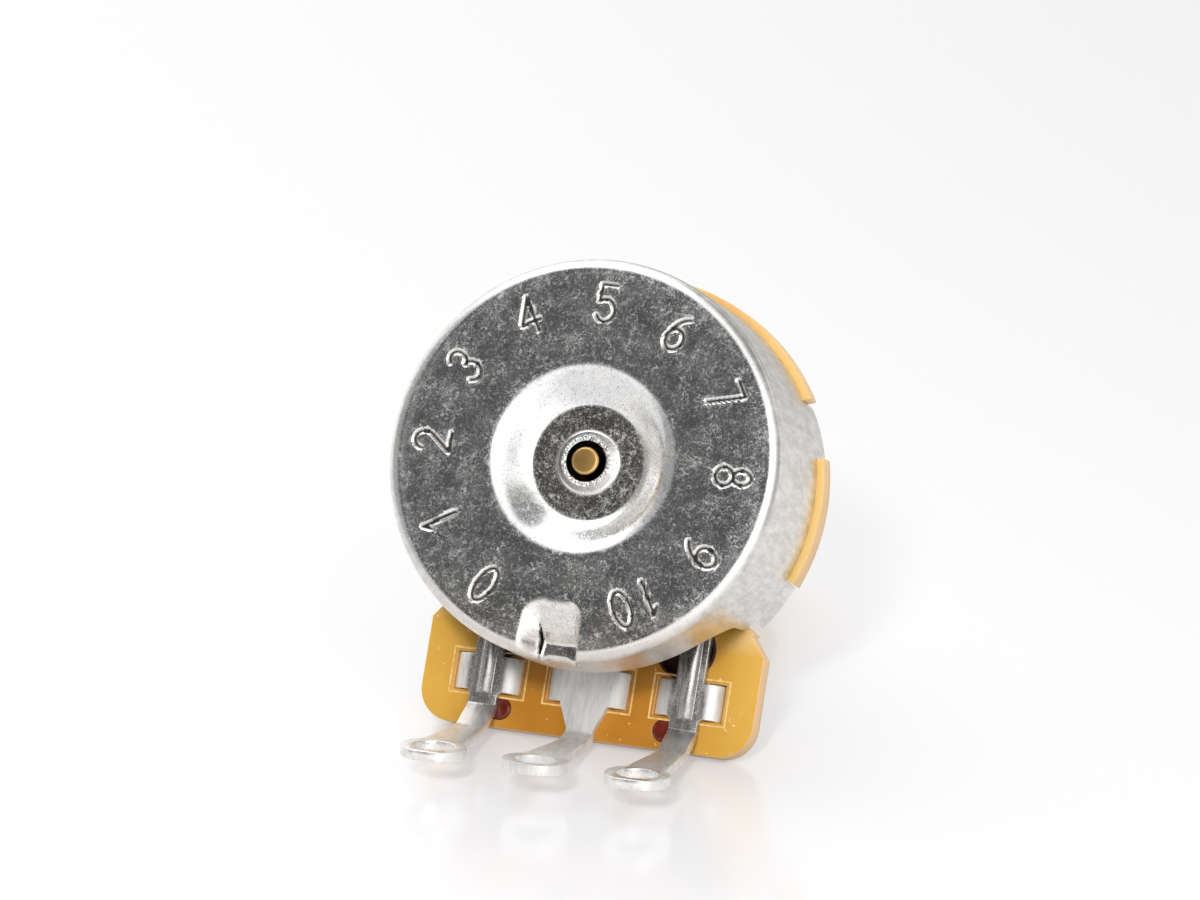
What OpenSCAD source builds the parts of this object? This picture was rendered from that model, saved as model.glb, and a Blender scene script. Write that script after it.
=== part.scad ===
// Rotary potentiometer with a solid shaft, a stamped rear cover and three eyelet terminals.
// The origin is the centre of the mounting face. The shaft points along +Y, the terminals hang
// down along -Z, and X runs to the right for someone who looks at the rear cover.
// A depth is a distance behind the mounting face, so it lies at Y = -depth.

/* [Rear cover] */
// Outside diameter of the rear cover
cover_d = 24; // [22:0.5:26]
// Length of the cover, from the element board to its rear face
cover_depth = 8.6; // [8.2:0.1:11]
// Thickness of the cover's sheet metal
cover_sheet = 0.6; // [0.5:0.05:0.7]
// Outside radius of the cover's rear corner
cover_corner_r = 0.8; // [0.75:0.05:1.2]
// Diameter at which the rear face starts to fall into its central dish
dish_mouth_d = 11.2; // [10.6:0.1:11.8]
// Diameter of the flat floor of the dish
dish_floor_d = 6.9; // [6.4:0.1:7.4]
// Depth of the dish below the rear face
dish_drop = 1.5; // [1.2:0.1:1.6]
// Outside diameter of the collar drawn up from the dish floor
collar_d = 3.6; // [3.4:0.1:4]
// Hole through the collar
collar_hole_d = 2.4; // [2.2:0.1:2.5]
// Height of the collar above the dish floor
collar_rise = 0.55; // [0.4:0.05:0.8]
// Half width of the opening in the cover's rim over the terminals
relief_half_w = 8.95; // [8.6:0.05:9]
// Height of that opening above the element board
relief_h = 3.7; // [3.2:0.1:4]
// Radius of the opening's two upper corners
relief_corner_r = 2.2; // [1.6:0.1:2.6]

/* [Rotation stop] */
// Width of the dent that makes the inside stop
stop_w = 2.2; // [1.8:0.1:2.6]
// Radius at which the dent starts on the rear face
stop_start_r = 8.3; // [8:0.1:8.8]
// Depth of the dent at the cover's corner
stop_drop = 1.7; // [1.4:0.1:2]
// Width of the slit torn beside the dent
stop_slit = 0.35; // [0.25:0.05:0.4]

/* [Crimp tabs] */
// Width of each tab that holds the stack together
tab_w = 3.4; // [3:0.1:3.8]
// Angle of the upper tabs above the X axis
tab_upper_angle = 22; // [18:1:26]
// Angle of the lower tabs below the X axis
tab_lower_angle = 31.5; // [29:0.5:32]
// Length of the fold over the front plate
tab_fold = 2.2; // [1.6:0.1:2.6]

/* [Element board] */
// Thickness of the phenolic board
board_t = 1.5; // [1.3:0.1:1.8]
// Diameter of the round part of the board
board_d = 24.9; // [24.4:0.1:26.6]
// Width of the tail that carries the terminals
tail_w = 20.8; // [20:0.2:22]
// Distance from the shaft axis to the bottom of the tail
tail_drop = 15.6; // [15.4:0.1:16]
// Radius of the two bottom corners of the tail
tail_corner_r = 2; // [1.2:0.1:2.6]
// Height of the sloping shoulder beside the tail's top corners
shoulder_h = 1.4; // [1:0.1:1.8]
// Diameter of the hole for the shaft and its retaining ring
board_hole_d = 10; // [9.6:0.1:10.2]
// Diameter of the round hole behind each outer terminal
root_hole_d = 3.7; // [3.3:0.1:3.8]
// Distance of those holes from the centre line
root_hole_x = 5.6; // [5.4:0.1:5.8]
// Clearance between the board and what passes through it
board_gap = 0.15; // [0.1:0.05:0.2]

/* [Printed tracks] */
// Thickness of the printed films
film_t = 0.1; // [0.08:0.02:0.14]
// Radius of the middle of the resistive track
track_r = 7.8; // [7.7:0.1:7.9]
// Width of the resistive track
track_w = 1.8; // [1.4:0.1:2]
// Half of the angle that the resistive track covers
track_half_angle = 134; // [130:1:137]
// Radius of the middle of the collector ring
collector_r = 5.8; // [5.7:0.1:5.9]
// Width of the collector ring
collector_w = 1; // [0.8:0.1:1.2]

/* [Terminals] */
// Distance between neighbouring terminals
pitch = 6.3; // [6.1:0.1:6.5]
// Thickness of the terminal metal
lug_t = 0.6; // [0.5:0.05:0.65]
// Width of an outer terminal's strip
strip_w = 1.75; // [1.6:0.05:1.9]
// Width of an outer terminal between its wings
outer_body_w = 2.1; // [2:0.05:2.2]
// Width of the middle terminal between its wings
middle_body_w = 2.9; // [2.6:0.1:3.2]
// Radius of each rolled wing, measured outside
wing_r = 1.05; // [0.95:0.05:1.1]
// Height of the wings along the board
wing_h = 2.15; // [1.8:0.05:2.2]
// Distance from the shaft axis to the top of the wings
wing_top = 11.4; // [11.3:0.05:11.5]
// Diameter of the half-round rib along an outer terminal
rib_d = 1; // [0.8:0.05:1.1]
// How far the eyelet centres stand behind the board
eyelet_reach = 7.96; // [7.4:0.02:8.6]
// Distance from the shaft axis down to the eyelet centres
eyelet_drop = 18.1; // [17.9:0.1:18.6]
// Outside diameter of the eyelets
eyelet_d = 3.9; // [3.6:0.1:4.2]
// Hole in the eyelets
eyelet_hole_d = 2.5; // [2.2:0.1:2.7]
// Width of the flat left on each eyelet where it was cut from its strip
eyelet_flat = 1.5; // [1:0.1:1.8]

/* [Insulating pegs] */
// Width of the oblong pegs beside the outer terminals
peg_w = 2.6; // [2.2:0.1:2.8]
// Height of the pegs
peg_h = 1.4; // [1:0.1:1.4]
// Distance of the left peg from the centre line
peg_left_x = 5.9; // [5.6:0.1:6.2]
// Distance of the right peg from the centre line
peg_right_x = 5.55; // [5.3:0.05:6]

/* [Front plate] */
// Thickness of the front plate
plate_t = 0.8; // [0.7:0.05:1]
// How far the round mounting pad stands in front of the plate's rim
pad_rise = 0.8; // [0.75:0.05:1.1]
// Diameter of the mounting pad
pad_d = 16; // [15.4:0.1:17]
// Distance from the shaft axis to the plate's straight lower edge
plate_cut = 10.9; // [10.5:0.1:11]
// Width of the locating ear
ear_w = 2.5; // [2:0.1:3]
// Length of the locating ear in front of the mounting face
ear_l = 2.4; // [1.6:0.1:3]

/* [Bushing] */
// Diameter of the bushing over its thread
bushing_d = 9.52; // [9.4:0.01:9.6]
// Length of the bushing in front of the mounting face
bushing_l = 9.5; // [6:0.1:12]
// Diameter of the bushing's neck, staked into the plate
neck_d = 10; // [9.9:0.05:10.4]
// Diameter of the flange behind the plate
flange_d = 12.6; // [11.6:0.1:13]
// Thickness of that flange
flange_t = 0.7; // [0.6:0.05:0.7]

/* [Shaft] */
// Diameter of the shaft
shaft_d = 6.35; // [6:0.05:6.4]
// Length of the shaft in front of the mounting face
shaft_l = 22.2; // [16:0.1:32]
// Width of the shallow groove where the shaft leaves the bushing
mouth_groove_w = 0.7; // [0.65:0.05:1]
// Radial running clearance between the shaft and the bushing
run_gap = 0.035; // [0.02:0.005:0.06]
// Distance across the two flats that drive the rotor
flats_w = 4.6; // [4.2:0.1:5]
// Diameter of the pin that shows in the collar
pin_d = 1.68; // [1.5:0.02:1.8]
// How far the pin's end lies below the cover's rear face
pin_recess = 0.65; // [0.5:0.05:0.9]
// Diameter of the groove for the retaining ring
groove_d = 5.2; // [4.9:0.1:5.4]
// Outside diameter of the retaining ring
ring_d = 8.8; // [8.4:0.1:9]
// Thickness of the retaining ring
ring_t = 0.55; // [0.45:0.05:0.6]

/* [Rotor] */
// Diameter of the rotor's disc
rotor_d = 18.8; // [18:0.1:19.4]
// Thickness of the rotor's disc
rotor_t = 1.4; // [1.2:0.1:1.6]
// Diameter of the rotor's hub
hub_d = 8; // [7.6:0.1:8.2]
// Half of the total turn of the shaft, in degrees
half_travel = 150; // [140:1:152]
// Thickness of the contact spring
spring_t = 0.25; // [0.2:0.05:0.3]
// Width of each contact finger
finger_w = 0.9; // [0.7:0.1:1]
// Clearance between the contact fingers and the films
contact_gap = 0.12; // [0.1:0.01:0.2]

/* [Hidden] */
fn_round = 96;
fn_small = 48;
eps = 0.01;

// Clearances between pieces, and small broken edges
plate_gap = 0.1;
slot_gap = 0.05;
rotor_play = 0.5;
rotor_lift = 1.1;
end_play = 0.15;
ring_play = 0.05;
flats_gap = 0.05;
edge = 0.12;
chamfer = 0.6;
fold_r = 0.4;
mouth_groove_deep = 0.2;

// Depths of the stack, from the mounting face to the rear
plate_front = pad_rise;
board_front = plate_front + plate_t;
board_rear = board_front + board_t;
lug_mid = board_rear + lug_t / 2;
lug_rear = board_rear + lug_t;
cover_rear = board_rear + cover_depth;
floor_depth = cover_rear - dish_drop;

// Radii of the cover
cover_r = cover_d / 2;
cover_inner_r = cover_r - cover_sheet;
board_r = board_d / 2;
plate_r = cover_inner_r - plate_gap;

// Places on the board
tail_x = tail_w / 2;
shoulder_x = relief_half_w + 0.35;
shoulder_z = -(sqrt(pow(board_r, 2) - pow(shoulder_x, 2)) - 0.25);
wing_bottom = wing_top + wing_h;
slot_top = wing_top - 2 * slot_gap;
slot_bottom = wing_bottom + slot_gap;
root_hole_z = -(slot_top - root_hole_d / 2 + slot_gap);
peg_z = -(slot_bottom + board_gap + peg_h / 2);
film_inner_r = track_r - track_w / 2;
film_outer_r = track_r + track_w / 2;
pad_reach = 1.2;
pad_end_angle = 152;
step_lap = 0.35;
tongue_step_z = root_hole_z + root_hole_d / 2 - 0.2;
tongue_end_z = tongue_step_z + 0.95;
middle_step_z = -(film_outer_r + 1.5);
middle_end_z = middle_step_z + 0.7;
rib_start_z = -(wing_bottom + 0.1);
rib_end_z = tongue_step_z - 0.5;

// Bends of the terminals, as [Y, Z] points
outer_lean = [-lug_mid, -(wing_bottom + 0.95)];
outer_bend = [-(board_rear + 1.96), -(wing_bottom + 2.55)];
middle_lean = [-lug_mid, -(wing_bottom + 1.95)];
middle_bend = [-(board_rear + 1.5), -(wing_bottom + 2.65)];
eyelet_at = [-(board_rear + eyelet_reach), -eyelet_drop];
bend_r = 0.55;
bend_run = 0.9;

// Places inside the cover
rotor_front = lug_rear + rotor_lift;
hub_front = rotor_front - 1;
hub_rear = floor_depth - cover_sheet - 0.8 * rotor_play;
stop_lug_rear = cover_rear - cover_sheet - rotor_play;
stop_lug_r = cover_inner_r - rotor_play;
stop_lug_inner_r = dish_mouth_d / 2 + 1.6;
stop_half_w = stop_w / 2 + cover_sheet;
stop_reach_r = 9;
stop_half_angle = 180 - half_travel - asin(stop_half_w / stop_reach_r) - 0.6;
spring_rear = rotor_front;
finger_depth = board_rear + film_t + contact_gap + spring_t / 2;
spring_mid = spring_rear - spring_t / 2;
ring_front = plate_t + flange_t + end_play;
ring_rear = ring_front + ring_t;
spring_hole_r = hub_d / 2 + 0.3;
spring_rim_w = 0.7;
spring_plate_r = collector_r + 0.8;
bar_w = 2;
bar_x = spring_hole_r - bar_w;
bar_z = spring_hole_r - spring_rim_w;
tip_half_l = 0.4;
tip_run = 0.45;
tip_rise = 0.35;

// Part of a circle as points, from one angle to another
function arc(c, r, a0, a1, n) = [for (i = [0:n]) let (a = a0 + (a1 - a0) * i / n)
    [c[0] + r * cos(a), c[1] + r * sin(a)]];

// Unit vector from p to q, and the angle of that direction
function toward(p, q) = (q - p) / norm(q - p);
function heading(p, q) = atan2(q[1] - p[1], q[0] - p[0]);

// One rounded corner of a path at q, on the way from p to s
function corner(p, q, s, r, n) =
    let (u = toward(q, p), v = toward(q, s), half = acos(u * v) / 2,
        c = q + (u + v) / norm(u + v) * r / sin(half),
        t0 = q + u * r / tan(half), t1 = q + v * r / tan(half),
        a0 = heading(c, t0), turn = heading(c, t1) - a0,
        step = turn > 180 ? turn - 360 : turn < -180 ? turn + 360 : turn)
    arc(c, r, a0, a0 + step, n);

// A path of points with each inner corner rounded
function rounded(path, r, n = 5) = concat([path[0]],
    [for (i = [1:len(path) - 2]) each corner(path[i - 1], path[i], path[i + 1], r, n)],
    [path[len(path) - 1]]);

// Side of a strip that follows a path, half a thickness away from it
function beside(path, w) = [for (i = [0:len(path) - 1])
    let (before = path[max(i - 1, 0)], after = path[min(i + 1, len(path) - 1)],
        d = toward(before, after))
    path[i] + [-d[1], d[0]] * w];

// Outline of a bent strip of thickness t along a path
function strip_outline(path, t) = concat(beside(path, t / 2),
    [for (p = [len(path) - 1:-1:0]) beside(path, -t / 2)[p]]);

// Smooth fall from 0 to 1
function ease(s) = (1 - cos(180 * s)) / 2;

// Turns a profile of [radius, Y] points about the shaft axis
module turned(points) {
    rotate([-90, 0, 0]) rotate_extrude($fn = fn_round) polygon(points);
}

// Lets a shape drawn upright in X and Z grow rearwards from a depth
module behind(depth, t) {
    translate([0, -depth, 0]) rotate([90, 0, 0]) linear_extrude(height = t) children();
}

// A strip seen from the side in Y and Z, w wide along X
module side_shape(w) {
    rotate([90, 0, 90]) linear_extrude(height = w, center = true) children();
}

// The places of the four crimp tabs
module at_tabs() {
    for (a = [tab_upper_angle, -tab_lower_angle, 180 - tab_upper_angle, 180 + tab_lower_angle])
        rotate([0, -a, 0]) children();
}

// Flat ring sector between two radii, centred on the top, half_angle to each side
module sector(r0, r1, half_angle) {
    n = ceil(half_angle / 6);
    intersection() {
        difference() {
            circle(r1, $fn = fn_round);
            circle(r0, $fn = fn_round);
        }
        polygon(concat([[0, 0]], arc([0, 0], r1 * 1.4, 90 - half_angle, 90 + half_angle, 2 * n)));
    }
}

// Fall of the rear face into its dish, shifted for the inside of the sheet
function dish_wall(shift, lift) = [for (i = [0:8]) let (s = i / 8)
    [dish_mouth_d / 2 + shift + (dish_floor_d - dish_mouth_d) / 2 * s,
     -cover_rear + lift + dish_drop * ease(s)]];

// Outside of the cover's cup, closed at the shaft axis
module cup_outside() {
    turned(concat([[0, -board_rear], [cover_r, -board_rear]],
        arc([cover_r - cover_corner_r, -cover_rear + cover_corner_r], cover_corner_r, 0, -90, 6),
        [[0, -cover_rear]]));
}

// Drawn sheet of the cover with its dish and collar
module cover_cup() {
    inner_corner = cover_corner_r - cover_sheet;
    rim = floor_depth + collar_rise;
    turned(concat(
        [[cover_inner_r, -board_rear], [cover_r, -board_rear]],
        arc([cover_r - cover_corner_r, -cover_rear + cover_corner_r], cover_corner_r, 0, -90, 6),
        dish_wall(0, 0),
        [[collar_d / 2 + 0.25, -floor_depth], [collar_d / 2, -floor_depth - 0.25],
         [collar_d / 2, -rim + edge], [collar_d / 2 - edge, -rim],
         [collar_hole_d / 2 + edge, -rim], [collar_hole_d / 2, -rim + edge],
         [collar_hole_d / 2, -floor_depth + cover_sheet - 0.3],
         [collar_hole_d / 2 + 0.3, -floor_depth + cover_sheet]],
        [for (i = [8:-1:0]) dish_wall(0.3, cover_sheet)[i]],
        arc([cover_inner_r - inner_corner, -cover_rear + cover_corner_r], inner_corner, -90, 0, 3)));
}

// Opening in the rim that lets the terminals out
module rim_relief() {
    flat_half = relief_half_w - relief_corner_r;
    relief_depth = board_rear + relief_h;
    translate([0, 0, -cover_r - 1]) linear_extrude(height = 0.55 * cover_r) union() {
        translate([-flat_half, -relief_depth]) square([2 * flat_half, relief_h + 1]);
        translate([-relief_half_w, relief_corner_r - relief_depth])
            square([2 * relief_half_w, relief_h + 1 - relief_corner_r]);
        for (side = [-1, 1]) translate([side * flat_half, relief_corner_r - relief_depth])
            circle(relief_corner_r, $fn = fn_small);
    }
}

// Side view of the dent, as [Y, Z] points, pushed in by a sheet thickness for its inside
function dent_line(inside) = let (s = inside ? cover_sheet : 0) [
    [-cover_rear + s * 0.7, -stop_start_r + s * 0.6],
    [-cover_rear + stop_drop * 0.47 + s * 0.8, -stop_start_r - 1.3 + s * 0.6],
    [-cover_rear + stop_drop + s * 0.9, -cover_r + 1.1 + s * 0.8],
    [-cover_rear + stop_drop + 1.8 + s * 0.5, -cover_r + 0.7 + s],
    [-cover_rear + stop_drop + 2.4 + s, -cover_r + s * 0.4]];

// Inside stop, pressed in at the bottom of the rear corner
module stop_dent_wall() {
    intersection() {
        side_shape(2 * stop_half_w) polygon(concat(dent_line(true),
            [[-cover_rear + stop_drop + 2.4 + cover_sheet, -cover_r - 1], [-cover_rear - 1, -cover_r - 1],
             [-cover_rear - 1, -stop_start_r]]));
        cup_outside();
    }
}

// Metal taken away outside the dent, with the slit torn at its left
module stop_dent_cut() {
    side_shape(stop_w) polygon(concat(dent_line(false),
        [[-cover_rear + stop_drop + 2.4, -cover_r - 1], [-cover_rear - 1, -cover_r - 1],
         [-cover_rear - 1, -stop_start_r]]));
    translate([-stop_w / 2 - stop_slit + eps, -cover_rear - 1, -cover_r + 0.15])
        cube([stop_slit, stop_drop + 1.9, 1.5]);
}

// Side view of a crimp tab, from the rim over the edge of the front plate
module tab_profile() {
    top = plate_front - cover_sheet;
    turned(concat([[cover_inner_r, -board_rear - eps], [cover_r, -board_rear - eps]],
        arc([cover_r - fold_r, -top - fold_r], fold_r, 0, 90, 4),
        [[cover_r - tab_fold, -top], [cover_r - tab_fold, -plate_front], [cover_inner_r, -plate_front]]));
}

module rear_cover() {
    color("#b9babb") {
        difference() {
            union() {
                difference() {
                    cover_cup();
                    rim_relief();
                }
                stop_dent_wall();
            }
            stop_dent_cut();
        }
        intersection() {
            tab_profile();
            at_tabs() translate([cover_r - tab_fold - 1, -board_rear - 1, -tab_w / 2])
                cube([tab_fold + 2, board_rear + 1, tab_w]);
        }
    }
}

// Outline of the board's tail
module tail_outline() {
    bottom = -tail_drop;
    polygon([[-shoulder_x, shoulder_z], [-tail_x, shoulder_z - shoulder_h],
        [-tail_x, bottom + tail_corner_r], [tail_x, bottom + tail_corner_r],
        [tail_x, shoulder_z - shoulder_h], [shoulder_x, shoulder_z]]);
    translate([-tail_x + tail_corner_r, bottom]) square([tail_w - 2 * tail_corner_r, tail_corner_r]);
    for (side = [-1, 1]) translate([side * (tail_x - tail_corner_r), bottom + tail_corner_r])
        circle(tail_corner_r, $fn = fn_small);
}

// The two slots that take one terminal's wings
module wing_slots(x, body_w) {
    inner = body_w / 2 - slot_gap;
    outer = body_w / 2 + wing_r + slot_gap;
    for (side = [-1, 1]) translate([x + side * (inner + outer) / 2, -(slot_top + slot_bottom) / 2])
        square([outer - inner, slot_bottom - slot_top], center = true);
}

// Oblong with round ends
module oblong(w, h) {
    square([w - h, h], center = true);
    for (side = [-1, 1]) translate([side * (w - h) / 2, 0]) circle(h / 2, $fn = fn_small);
}

module element_board() {
    color("#d9a441") difference() {
        behind(board_front, board_t) difference() {
            union() {
                circle(board_r, $fn = fn_round);
                tail_outline();
            }
            circle(d = board_hole_d, $fn = fn_round);
            for (side = [-1, 1]) translate([side * root_hole_x, root_hole_z])
                circle(d = root_hole_d, $fn = fn_small);
            wing_slots(-pitch, outer_body_w);
            wing_slots(0, middle_body_w);
            wing_slots(pitch, outer_body_w);
            translate([-peg_left_x, peg_z]) oblong(peg_w, peg_h);
            translate([peg_right_x, peg_z]) oblong(peg_w, peg_h);
        }
        at_tabs() translate([cover_inner_r - 0.2, -board_rear - 1, -tab_w / 2 - board_gap])
            cube([3, board_t + 2, tab_w + 2 * board_gap]);
    }
}

module resistive_track() {
    color("#1d1b1a") behind(board_rear, film_t) sector(film_inner_r, film_outer_r, track_half_angle);
}

module collector_track() {
    leg_w = middle_body_w - 0.6;
    color("#c9c6bd") behind(board_rear, film_t) union() {
        difference() {
            circle(collector_r + collector_w / 2, $fn = fn_round);
            circle(collector_r - collector_w / 2, $fn = fn_round);
        }
        translate([-leg_w / 2, middle_step_z + 0.1]) square([leg_w, -middle_step_z - 0.1 - collector_r]);
    }
}

// Silver film from one end of the track to the tongue of an outer terminal
module end_film(side) {
    middle = (track_half_angle + pad_end_angle) / 2;
    color("#c9c6bd") behind(board_rear, film_t) difference() {
        rotate(-side * middle)
            sector(film_inner_r, film_outer_r + pad_reach, (pad_end_angle - track_half_angle) / 2);
        translate([side * root_hole_x, root_hole_z]) circle(d = root_hole_d, $fn = fn_small);
    }
}

module end_film_left() {
    end_film(-1);
}

module end_film_right() {
    end_film(1);
}

// The rolled wings of one terminal, through the board and clinched in front of it
module wings(body_w) {
    hw = body_w / 2;
    inner_r = wing_r - lug_t;
    centre = wing_r - lug_rear;
    translate([0, 0, -wing_bottom]) linear_extrude(height = wing_h)
        for (side = [-1, 1]) scale([side, 1]) union() {
            intersection() {
                translate([hw, centre]) difference() {
                    circle(wing_r, $fn = fn_small);
                    circle(inner_r, $fn = fn_small);
                }
                translate([hw, -lug_rear - 1]) square([wing_r + 1, centre + lug_rear + 1]);
            }
            translate([hw + inner_r, centre]) square([lug_t, -board_front + lug_t - centre]);
            translate([hw - 0.7, -board_front]) square([wing_r + 0.7, lug_t]);
        }
}

// Sloping neck and eyelet, starting where the last bend ends
module eyelet(bend, neck_w) {
    run = norm(eyelet_at - bend);
    start = bend_run - 0.05;
    slope = asin((bend[1] - eyelet_at[1]) / run);
    r = eyelet_d / 2;
    flat_at = run + sqrt(pow(r, 2) - pow(eyelet_flat / 2, 2));
    translate([0, bend[0], bend[1]]) rotate([180 + slope, 0, 0])
        linear_extrude(height = lug_t, center = true) difference() {
            union() {
                polygon([[-neck_w / 2, start], [neck_w / 2, start],
                    [r * 0.62, run - r * 0.7], [-r * 0.62, run - r * 0.7]]);
                translate([0, run]) circle(r, $fn = fn_small);
            }
            translate([0, run]) circle(d = eyelet_hole_d, $fn = fn_small);
            translate([-r, flat_at]) square([2 * r, r]);
        }
}

// Inner end of a terminal, stepped up from the board onto its printed film
module tongue(w, step_z, end_z) {
    translate([-w / 2, -lug_rear - film_t, step_z - step_lap]) cube([w, lug_t, end_z - step_z + step_lap]);
}

// Bent part of a terminal between its flat plate and its neck
module bends(start_z, lean, bend, w) {
    path = [[-lug_mid, start_z], lean, bend, bend + toward(bend, eyelet_at) * bend_run];
    side_shape(w) polygon(strip_outline(rounded(path, bend_r), lug_t));
}

module outer_terminal(side) {
    start_z = outer_lean[1] + 0.4;
    color("#c4c3bd") translate([side * pitch, 0, 0]) {
        behind(board_rear, lug_t) polygon([[-strip_w / 2, tongue_step_z], [strip_w / 2, tongue_step_z],
            [strip_w / 2, -wing_top], [outer_body_w / 2, -wing_top], [outer_body_w / 2, -wing_bottom],
            [strip_w / 2, -wing_bottom - 0.2], [strip_w / 2, start_z], [-strip_w / 2, start_z],
            [-strip_w / 2, -wing_bottom - 0.2], [-outer_body_w / 2, -wing_bottom],
            [-outer_body_w / 2, -wing_top], [-strip_w / 2, -wing_top]]);
        tongue(strip_w, tongue_step_z, tongue_end_z);
        intersection() {
            translate([0, lug_t / 4 - lug_rear, rib_start_z])
                cylinder(d = rib_d, h = rib_end_z - rib_start_z, $fn = fn_small);
            translate([-rib_d, -lug_rear - rib_d, rib_start_z])
                cube([2 * rib_d, rib_d + lug_t / 2, rib_end_z - rib_start_z]);
        }
        wings(outer_body_w);
        bends(start_z, outer_lean, outer_bend, strip_w);
        eyelet(outer_bend, strip_w);
    }
}

module terminal_left() {
    outer_terminal(-1);
}

module terminal_right() {
    outer_terminal(1);
}

module terminal_middle() {
    start_z = middle_lean[1] + 0.4;
    neck_w = strip_w - 0.1;
    color("#c4c3bd") {
        behind(board_rear, lug_t) polygon([[-middle_body_w / 2, middle_step_z],
            [middle_body_w / 2, middle_step_z], [middle_body_w / 2, -wing_bottom - 0.1],
            [neck_w / 2, start_z], [-neck_w / 2, start_z], [-middle_body_w / 2, -wing_bottom - 0.1]]);
        tongue(middle_body_w, middle_step_z, middle_end_z);
        wings(middle_body_w);
        bends(start_z, middle_lean, middle_bend, neck_w);
        eyelet(middle_bend, neck_w);
    }
}

// Oblong peg that fills its hole in the board
module peg(x) {
    color("#6b1410") translate([x, 0, peg_z]) behind(board_front, board_t) oblong(peg_w, peg_h);
}

module insulating_peg_left() {
    peg(-peg_left_x);
}

module insulating_peg_right() {
    peg(peg_right_x);
}

module front_plate() {
    pad_r = pad_d / 2;
    hole_r = neck_d / 2;
    dish_run = 0.4;
    color("#a9aaab") {
        difference() {
            turned([[hole_r, 0], [pad_r - dish_run, 0], [pad_r, -dish_run], [pad_r + dish_run, -plate_front],
                [plate_r, -plate_front], [plate_r, -board_front],
                [pad_r - 0.2, -board_front], [pad_r - plate_t, -plate_t], [hole_r, -plate_t]]);
            translate([-plate_r, -board_front - 1, -plate_r - 1])
                cube([2 * plate_r, 3, plate_r + 1 - plate_cut]);
            translate([-plate_r - 1, -board_front - 1, -ear_w / 2]) cube([plate_t + 1, 3, ear_w]);
        }
        translate([-plate_r, -board_front, -ear_w / 2]) cube([plate_t, board_front + ear_l, ear_w]);
    }
}

module bushing() {
    r = bushing_d / 2;
    bore_r = shaft_d / 2 + run_gap;
    rear = plate_t + flange_t;
    color("#c8c4b4") turned([[bore_r, -rear], [flange_d / 2, -rear], [flange_d / 2, -plate_t],
        [neck_d / 2, -plate_t], [neck_d / 2, 0], [r, 0], [r, bushing_l - chamfer],
        [r - chamfer, bushing_l], [bore_r, bushing_l]]);
}

// Outline of the driven part of the shaft, with a clearance all round
module flats(gap) {
    intersection() {
        circle(shaft_d / 2 - 0.1 + gap, $fn = fn_small);
        square([shaft_d + 1, flats_w + 2 * gap], center = true);
    }
}

module shaft() {
    r = shaft_d / 2;
    pin_r = pin_d / 2;
    pin_end = cover_rear - pin_recess;
    groove_front = ring_front - ring_play;
    groove_rear = ring_rear + ring_play;
    mouth_r = r - mouth_groove_deep;
    mouth_rear = bushing_l - mouth_groove_w / 2;
    mouth_front = bushing_l + mouth_groove_w / 2;
    color("#b5893f") {
        turned([[0, -groove_rear], [groove_d / 2, -groove_rear], [groove_d / 2, -groove_front],
            [r, -groove_front], [r, mouth_rear], [mouth_r, mouth_rear + mouth_groove_deep],
            [mouth_r, mouth_front - mouth_groove_deep], [r, mouth_front],
            [r, shaft_l - chamfer], [r - chamfer, shaft_l], [0, shaft_l]]);
        behind(groove_rear, hub_rear - groove_rear) flats(0);
        turned([[0, -hub_rear], [pin_r, -hub_rear], [pin_r, edge - pin_end], [pin_r - edge, -pin_end],
            [0, -pin_end]]);
    }
}

module retaining_ring() {
    color("#8f9296") behind(ring_front, ring_t) difference() {
        circle(d = ring_d, $fn = fn_round);
        circle(groove_d / 2 + ring_play / 2, $fn = fn_round);
        translate([-groove_d * 0.3, -ring_d]) square([groove_d * 0.6, ring_d]);
    }
}

module rotor() {
    color("#3a2a20") difference() {
        union() {
            behind(rotor_front, rotor_t) circle(d = rotor_d, $fn = fn_round);
            behind(hub_front, hub_rear - hub_front) circle(d = hub_d, $fn = fn_round);
            behind(rotor_front, stop_lug_rear - rotor_front)
                sector(stop_lug_inner_r, stop_lug_r, stop_half_angle);
        }
        behind(hub_front - 1, hub_rear - hub_front + 2) flats(flats_gap);
    }
}

// Contact finger at a radius, bent forward from the plate to the film, arriving from one side
module finger(r, side) {
    path = [[-bar_x - bar_w / 2, -spring_mid], [-bar_x, -spring_mid], [-tip_half_l, -finger_depth],
        [tip_half_l, -finger_depth], [tip_half_l + tip_run, -finger_depth - tip_rise]];
    scale([side, 1, 1]) translate([0, 0, r - finger_w / 2]) linear_extrude(height = finger_w)
        polygon(strip_outline(path, spring_t));
}

module contact_spring() {
    color("#c08a4a") {
        behind(spring_rear - spring_t, spring_t) union() {
            difference() {
                circle(spring_plate_r, $fn = fn_round);
                circle(spring_hole_r, $fn = fn_round);
                square([2 * bar_z, 2 * spring_plate_r], center = true);
            }
            difference() {
                circle(spring_hole_r + spring_rim_w, $fn = fn_round);
                circle(spring_hole_r, $fn = fn_round);
            }
            translate([-spring_hole_r, bar_z]) square([bar_w, track_r + finger_w / 2 - bar_z]);
            translate([bar_x, bar_z]) square([bar_w, collector_r + finger_w / 2 - bar_z]);
        }
        finger(track_r, 1);
        finger(collector_r, -1);
    }
}

rear_cover();
element_board();
resistive_track();
collector_track();
end_film_left();
end_film_right();
terminal_left();
terminal_middle();
terminal_right();
insulating_peg_left();
insulating_peg_right();
front_plate();
bushing();
shaft();
retaining_ring();
rotor();
contact_spring();
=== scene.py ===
# %% [markdown]
# A small panel potentiometer, seen from its rear. The can is one drawn sheet of tinned steel, the board
# is ochre phenolic, and three tinned lugs are clinched through it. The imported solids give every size
# and place; this lesson remakes the pieces that show with rolled edges and stamped detail, gives each
# its finish, and sets a plain studio round them.

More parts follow.
